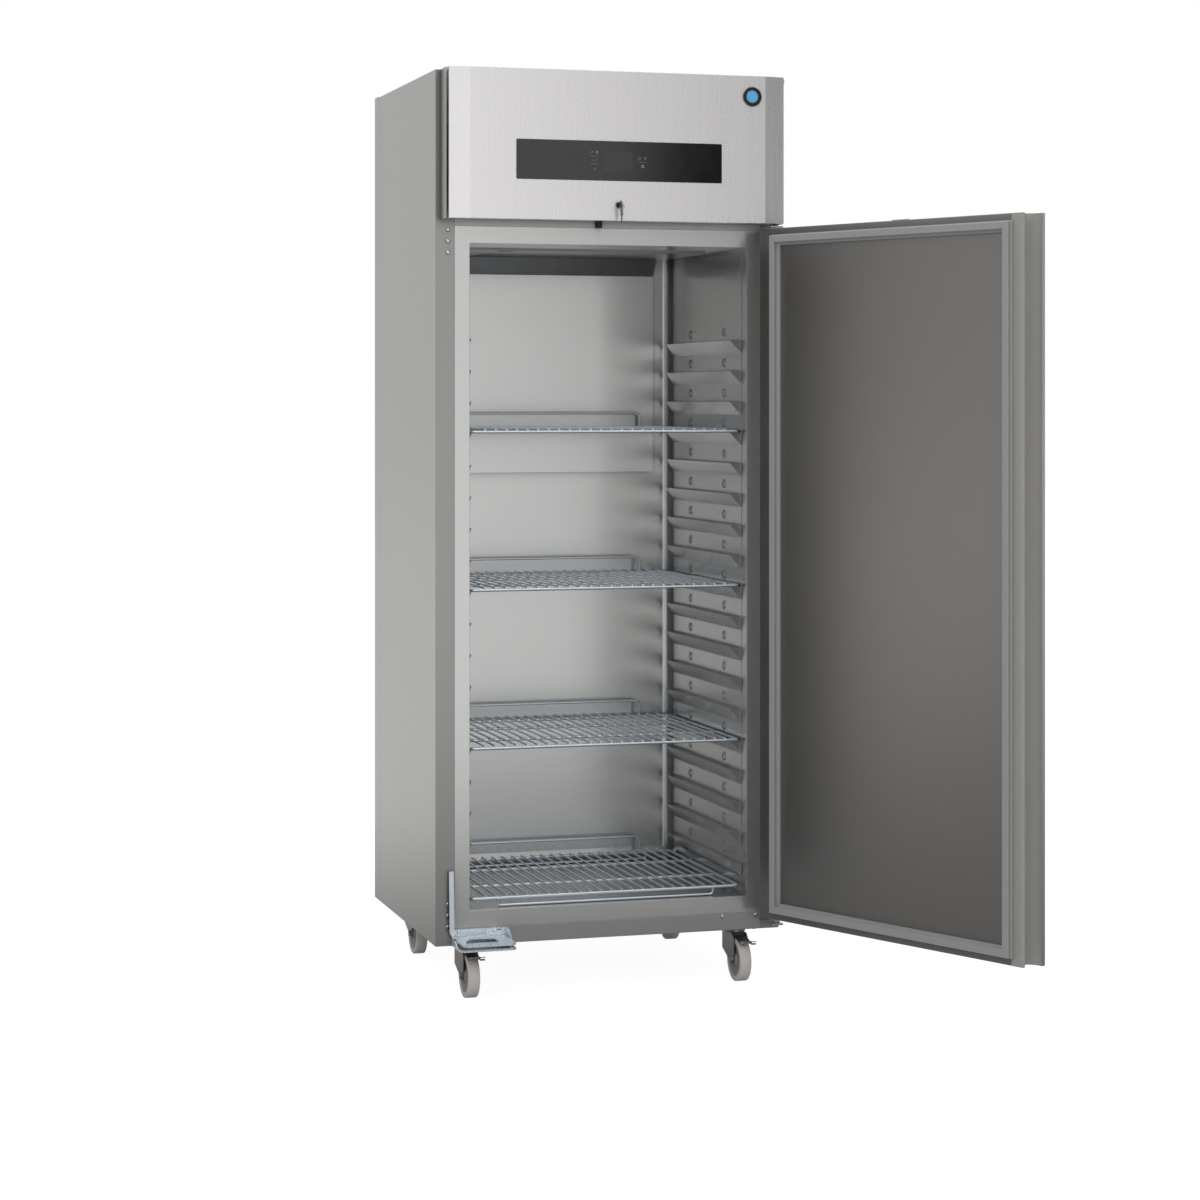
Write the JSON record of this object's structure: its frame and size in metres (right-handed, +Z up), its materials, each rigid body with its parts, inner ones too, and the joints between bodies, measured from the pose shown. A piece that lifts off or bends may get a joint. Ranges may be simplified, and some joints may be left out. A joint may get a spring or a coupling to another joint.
{
  "type": "upright refrigerator",
  "caption": "Upright stainless steel catering refrigerator on castors, with one open full-height door, wire shelves on side racks, a hinged control header and a foot pedal.",
  "frame": {"origin": "on the floor, under the centre of the cabinet body's footprint; the wheels stand at z = 0", "axes": "+X to the right seen from the front, +Y to the back, +Z up; the door opening faces -Y"},
  "size_m": [1.1412, 1.4213, 2.101],
  "materials": {
    "case_steel": "satin stainless sheet",
    "front_steel": "satin stainless sheet",
    "cavity_steel": "satin stainless sheet",
    "foam": "rigid foam",
    "grip_profile": "grey extruded profile",
    "gasket_rubber": "soft grey seal",
    "bush_plastic": "black nylon",
    "bright_steel": "bright steel",
    "zinc": "bright zinc plate",
    "brake_steel": "pressed steel",
    "wheel_rubber": "grey castor wheel",
    "black_glass": "smoked glass touch panel",
    "board_green": "circuit board",
    "badge_blue": "plain blue disc with a dark rim",
    "lock_chrome": "bright plate",
    "key_nickel": "nickel silver",
    "shelf_wire": "bright welded wire",
    "compressor_black": "black enamel",
    "coil_aluminium": "finned coil",
    "unit_black": "black plastic",
    "motor_grey": "grey enamel",
    "line_copper": "copper tube",
    "box_grey": "grey plastic",
    "plug_grey": "grey plastic",
    "switch_black": "black plastic"
  },
  "bodies": {
    "cabinet": {"outer_side_left": "case_steel", "outer_side_right": "case_steel", "rear_panel": "case_steel", "base_pan": "case_steel", "inner_liner": "cavity_steel", "insulation_foam": "foam", "top_cover": "case_steel", "unit_tray": "case_steel", "rack_left": "cavity_steel", "rack_right": "cavity_steel", "air_duct_cover": "cavity_steel", "ceiling_panel": "cavity_steel", "hinge_bracket_bottom": "bright_steel", "hinge_bracket_top": "bright_steel", "header_side_plates": "case_steel", "pedal_bracket": "zinc", "castor_plates": "zinc", "compressor": "compressor_black", "condenser_coil": "coil_aluminium", "fan_shroud": "unit_black", "fan_motors": "motor_grey", "evaporator_coil": "coil_aluminium", "control_box": "box_grey", "refrigerant_lines": "line_copper", "blanking_plugs": "plug_grey", "cabinet_screws": "bright_steel", "door_switch": "switch_black"},
    "door": {"door_skin": "front_steel", "door_grip": "grip_profile", "door_liner": "cavity_steel", "door_foam": "foam", "door_gasket": "gasket_rubber", "door_bushes": "bush_plastic", "door_keeper": "bright_steel"},
    "header": {"fascia": "front_steel", "control_glass": "black_glass", "control_board": "board_green", "badge": "badge_blue", "lock_housing": "lock_chrome"},
    "lock": {"lock_plug": "lock_chrome", "key": "key_nickel"},
    "key_ring": {"key_ring": "key_nickel"},
    "pedal": {"foot_pedal": "zinc", "pedal_lever": "zinc"},
    "condenser_fan": {"condenser_fan": "unit_black"},
    "evaporator_fan": {"evaporator_fan": "unit_black"},
    "shelf_top": {"shelf_top": "shelf_wire"},
    "shelf_upper": {"shelf_upper": "shelf_wire"},
    "shelf_lower": {"shelf_lower": "shelf_wire"},
    "shelf_floor": {"shelf_floor": "shelf_wire"},
    "castor_front_left": {"castor_fork_front_left": "zinc"},
    "wheel_front_left": {"castor_wheel_front_left": "wheel_rubber"},
    "castor_front_right": {"castor_fork_front_right": "zinc"},
    "wheel_front_right": {"castor_wheel_front_right": "wheel_rubber"},
    "castor_rear_left": {"castor_fork_rear_left": "zinc"},
    "wheel_rear_left": {"castor_wheel_rear_left": "wheel_rubber"},
    "castor_rear_right": {"castor_fork_rear_right": "zinc"},
    "wheel_rear_right": {"castor_wheel_rear_right": "wheel_rubber"},
    "brake_front_left": {"castor_brake_front_left": "brake_steel"},
    "brake_front_right": {"castor_brake_front_right": "brake_steel"}
  },
  "joints": [
    {"name": "door_hinge", "type": "hinge", "parent": "cabinet", "child": "door", "pos_m": [0.3835, -0.3854, 0.163], "axis": [0, 0, 1], "range_deg": [-115.3, 4.7]},
    {"name": "header_hinge", "type": "hinge", "parent": "cabinet", "child": "header", "pos_m": [0, -0.393, 2.09], "axis": [-1, 0, 0], "range_deg": [0, 75]},
    {"name": "lock_turn", "type": "hinge", "parent": "header", "child": "lock", "pos_m": [-0.003, -0.4, 1.7965], "axis": [0, 1, 0], "range_deg": [0, 90]},
    {"name": "key_ring_swing", "type": "hinge", "parent": "lock", "child": "key_ring", "pos_m": [-0.003, -0.4318, 1.7965], "axis": [1, 0, 0], "range_deg": [-40, 0]},
    {"name": "pedal_hinge", "type": "hinge", "parent": "cabinet", "child": "pedal", "pos_m": [-0.3045, -0.34, 0.1355], "axis": [1, 0, 0], "range_deg": [0, 5], "stiffness_Nm_per_rad": 6, "springref_deg": -5.73},
    {"name": "shelf_top_slide", "type": "slide", "parent": "cabinet", "child": "shelf_top", "axis": [0, -1, 0], "range_m": [0, 0.45]},
    {"name": "shelf_upper_slide", "type": "slide", "parent": "cabinet", "child": "shelf_upper", "axis": [0, -1, 0], "range_m": [0, 0.45]},
    {"name": "shelf_lower_slide", "type": "slide", "parent": "cabinet", "child": "shelf_lower", "axis": [0, -1, 0], "range_m": [0, 0.45]},
    {"name": "shelf_floor_slide", "type": "slide", "parent": "cabinet", "child": "shelf_floor", "axis": [0, -1, 0], "range_m": [0, 0.45]},
    {"name": "castor_front_left_swivel", "type": "hinge", "parent": "cabinet", "child": "castor_front_left", "pos_m": [-0.324, -0.264, 0.112], "axis": [0, 0, 1], "continuous": true},
    {"name": "wheel_front_left_roll", "type": "hinge", "parent": "castor_front_left", "child": "wheel_front_left", "pos_m": [-0.324, -0.299, 0.05], "axis": [1, 0, 0], "continuous": true},
    {"name": "castor_front_right_swivel", "type": "hinge", "parent": "cabinet", "child": "castor_front_right", "pos_m": [0.324, -0.264, 0.112], "axis": [0, 0, 1], "continuous": true},
    {"name": "wheel_front_right_roll", "type": "hinge", "parent": "castor_front_right", "child": "wheel_front_right", "pos_m": [0.324, -0.299, 0.05], "axis": [1, 0, 0], "continuous": true},
    {"name": "castor_rear_left_swivel", "type": "hinge", "parent": "cabinet", "child": "castor_rear_left", "pos_m": [-0.324, 0.264, 0.112], "axis": [0, 0, 1], "continuous": true},
    {"name": "wheel_rear_left_roll", "type": "hinge", "parent": "castor_rear_left", "child": "wheel_rear_left", "pos_m": [-0.324, 0.229, 0.05], "axis": [1, 0, 0], "continuous": true},
    {"name": "castor_rear_right_swivel", "type": "hinge", "parent": "cabinet", "child": "castor_rear_right", "pos_m": [0.324, 0.264, 0.112], "axis": [0, 0, 1], "continuous": true},
    {"name": "wheel_rear_right_roll", "type": "hinge", "parent": "castor_rear_right", "child": "wheel_rear_right", "pos_m": [0.324, 0.229, 0.05], "axis": [1, 0, 0], "continuous": true},
    {"name": "brake_front_left_hinge", "type": "hinge", "parent": "castor_front_left", "child": "brake_front_left", "pos_m": [-0.324, -0.294, 0.106], "axis": [1, 0, 0], "range_deg": [0, 4.5]},
    {"name": "brake_front_right_hinge", "type": "hinge", "parent": "castor_front_right", "child": "brake_front_right", "pos_m": [0.324, -0.294, 0.106], "axis": [1, 0, 0], "range_deg": [0, 4.5]},
    {"name": "condenser_fan_turn", "type": "hinge", "parent": "cabinet", "child": "condenser_fan", "pos_m": [-0.12, -0.198, 1.908], "axis": [0, 1, 0], "continuous": true},
    {"name": "evaporator_fan_turn", "type": "hinge", "parent": "cabinet", "child": "evaporator_fan", "pos_m": [0, 0.052, 1.8348], "axis": [0, 1, 0], "continuous": true}
  ]
}
